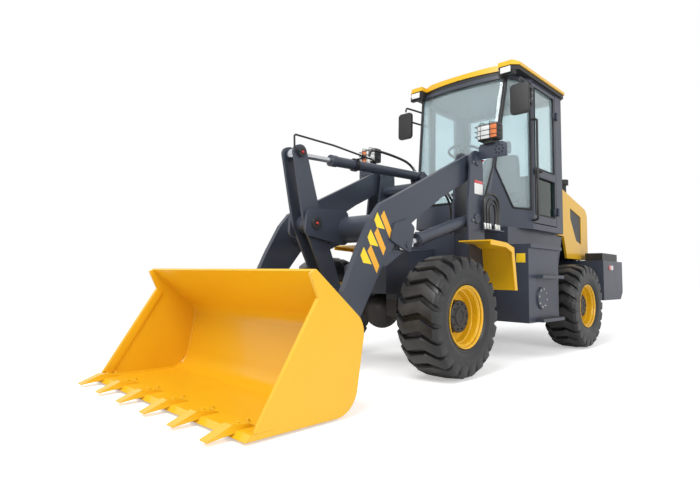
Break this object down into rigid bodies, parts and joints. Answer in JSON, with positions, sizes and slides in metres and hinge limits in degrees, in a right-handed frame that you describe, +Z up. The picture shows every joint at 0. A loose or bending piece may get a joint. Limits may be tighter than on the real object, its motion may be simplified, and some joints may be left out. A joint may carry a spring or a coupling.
{
  "type": "articulated wheel loader",
  "caption": "Compact articulated wheel loader with toothed bucket, Z-bar lift arms, enclosed cab, rear engine hood and counterweight.",
  "frame": {"origin": "on the ground under the middle of the machine's bounding box", "axes": "+X forward towards the bucket, +Y to the driver's left, +Z up"},
  "size_m": [6.049, 1.85, 2.9476],
  "materials": {
    "yellow": "satin",
    "slate": "satin",
    "black": "satin",
    "steel": "worn",
    "chrome": "polished",
    "glass": "clear",
    "seat": "woven",
    "tyre": "matte"
  },
  "bodies": {
    "chassis": {"rear_frame": "slate", "rear_axle": "black", "side_boxes": "slate", "cab_shell": "slate", "cab_glass": "glass", "cab_roof": "yellow", "roof_lining": "black", "roof_lamps": "black", "mirrors": "black", "seat_base": "black", "seat_pad": "seat", "steering_column": "black", "engine_block": "slate", "radiator": "slate", "counterweight": "slate", "rear_toolboxes": "black"},
    "hood_body": {"hood": "yellow", "hood_grilles": "black", "exhaust": "black"},
    "door_body": {"door": "slate", "door_glass": "glass"},
    "front_body": {"front_frame": "slate", "front_axle": "black", "front_guards": "yellow", "headlamps": "black"},
    "boom": {"lift_arms": "slate", "rocker_pin": "steel"},
    "rocker_body": {"rocker": "slate"},
    "link_body": {"tie_link": "slate"},
    "bucket_body": {"bucket": "yellow", "bucket_edge": "steel", "bucket_pins": "steel", "link_pin": "steel"},
    "lift_barrel_body": {"lift_barrels": "black"},
    "lift_rod_body": {"lift_rods": "chrome"},
    "tilt_barrel_body": {"tilt_barrel": "black"},
    "tilt_rod_body": {"tilt_rod": "chrome"},
    "steer_barrel_left_body": {"steer_barrel_left": "black"},
    "steer_rod_left_body": {"steer_rod_left": "chrome"},
    "steer_barrel_right_body": {"steer_barrel_right": "black"},
    "steer_rod_right_body": {"steer_rod_right": "chrome"},
    "wheel_fl": {"tyre_fl": "tyre", "rim_fl": "yellow"},
    "wheel_fr": {"tyre_fr": "tyre", "rim_fr": "yellow"},
    "wheel_rl": {"tyre_rl": "tyre", "rim_rl": "yellow"},
    "wheel_rr": {"tyre_rr": "tyre", "rim_rr": "yellow"}
  },
  "joints": [
    {"name": "steer", "type": "hinge", "parent": "chassis", "child": "front_body", "pos_m": [-0.3245, 0, 0.76], "axis": [0, 0, 1], "range_deg": [-35, 35]},
    {"name": "boom_lift", "type": "hinge", "parent": "front_body", "child": "boom", "pos_m": [0.3555, 0, 1.775], "axis": [0, -1, 0], "range_deg": [-3, 72]},
    {"name": "bucket_tilt", "type": "hinge", "parent": "boom", "child": "bucket_body", "pos_m": [2.0405, 0, 0.286], "axis": [0, 1, 0], "range_deg": [-42, 99]},
    {"name": "rocker_turn", "type": "hinge", "parent": "boom", "child": "rocker_body", "pos_m": [1.7905, 0, 1.128], "axis": [0, -1, 0], "range_deg": [-9.12, 21.09]},
    {"name": "link_turn", "type": "hinge", "parent": "bucket_body", "child": "link_body", "pos_m": [2.0755, 0, 0.476], "axis": [0, -1, 0], "range_deg": [-38.94, 91.38]},
    {"name": "lift_barrel_turn", "type": "hinge", "parent": "front_body", "child": "lift_barrel_body", "pos_m": [0.3655, 0, 1.263], "axis": [0, -1, 0], "range_deg": [-3, 65.1]},
    {"name": "lift_rod_slide", "type": "slide", "parent": "lift_barrel_body", "child": "lift_rod_body", "axis": [0.9561, 0, -0.293], "range_m": [-0.0261, 0.5809]},
    {"name": "tilt_barrel_turn", "type": "hinge", "parent": "front_body", "child": "tilt_barrel_body", "pos_m": [0.4255, 0, 1.699], "axis": [0, -1, 0], "range_deg": [-3.34, 73.33]},
    {"name": "tilt_rod_slide", "type": "slide", "parent": "tilt_barrel_body", "child": "tilt_rod_body", "axis": [0.999, 0, -0.0445], "range_m": [-0.1057, 0.046]},
    {"name": "steer_barrel_left_turn", "type": "hinge", "parent": "chassis", "child": "steer_barrel_left_body", "pos_m": [-0.7445, 0.27, 0.75], "axis": [0, 0, 1], "range_deg": [-14.25, 14.25]},
    {"name": "steer_rod_left_slide", "type": "slide", "parent": "steer_barrel_left_body", "child": "steer_rod_left_body", "axis": [0.9985, -0.0555, 0], "range_m": [-0.1503, 0.1503]},
    {"name": "steer_barrel_right_turn", "type": "hinge", "parent": "chassis", "child": "steer_barrel_right_body", "pos_m": [-0.7445, -0.27, 0.75], "axis": [0, 0, 1], "range_deg": [-14.25, 14.25]},
    {"name": "steer_rod_right_slide", "type": "slide", "parent": "steer_barrel_right_body", "child": "steer_rod_right_body", "axis": [0.9985, 0.0555, 0], "range_m": [-0.1503, 0.1503]},
    {"name": "door_swing", "type": "hinge", "parent": "chassis", "child": "door_body", "pos_m": [-1.2545, 0.66, 2], "axis": [0, 0, 1], "range_deg": [0, 85]},
    {"name": "hood_lift", "type": "hinge", "parent": "chassis", "child": "hood_body", "pos_m": [-2.6245, 0, 1.022], "axis": [0, -1, 0], "range_deg": [0, 55]},
    {"name": "wheel_fl_spin", "type": "hinge", "parent": "front_body", "child": "wheel_fl", "pos_m": [0.9305, 0.679, 0.46], "axis": [0, 1, 0], "continuous": true},
    {"name": "wheel_fr_spin", "type": "hinge", "parent": "front_body", "child": "wheel_fr", "pos_m": [0.9305, -0.679, 0.46], "axis": [0, 1, 0], "continuous": true},
    {"name": "wheel_rl_spin", "type": "hinge", "parent": "chassis", "child": "wheel_rl", "pos_m": [-1.5795, 0.679, 0.46], "axis": [0, 1, 0], "continuous": true},
    {"name": "wheel_rr_spin", "type": "hinge", "parent": "chassis", "child": "wheel_rr", "pos_m": [-1.5795, -0.679, 0.46], "axis": [0, 1, 0], "continuous": true}
  ],
  "couplings": [
    {"joint": "rocker_turn", "follows": "bucket_tilt", "ratio": 0.21},
    {"joint": "link_turn", "follows": "bucket_tilt", "ratio": 0.92},
    {"joint": "lift_barrel_turn", "follows": "boom_lift", "ratio": 0.9},
    {"joint": "lift_rod_slide", "follows": "boom_lift", "m_per_rad": 0.4607},
    {"joint": "tilt_barrel_turn", "follows": "boom_lift", "ratio": 1.0143},
    {"joint": "tilt_rod_slide", "follows": "bucket_tilt", "m_per_rad": -0.06},
    {"joint": "steer_barrel_left_turn", "follows": "steer", "ratio": 0.39868},
    {"joint": "steer_rod_left_slide", "follows": "steer", "m_per_rad": -0.24283},
    {"joint": "steer_barrel_right_turn", "follows": "steer", "ratio": 0.39868},
    {"joint": "steer_rod_right_slide", "follows": "steer", "m_per_rad": 0.24283}
  ]
}
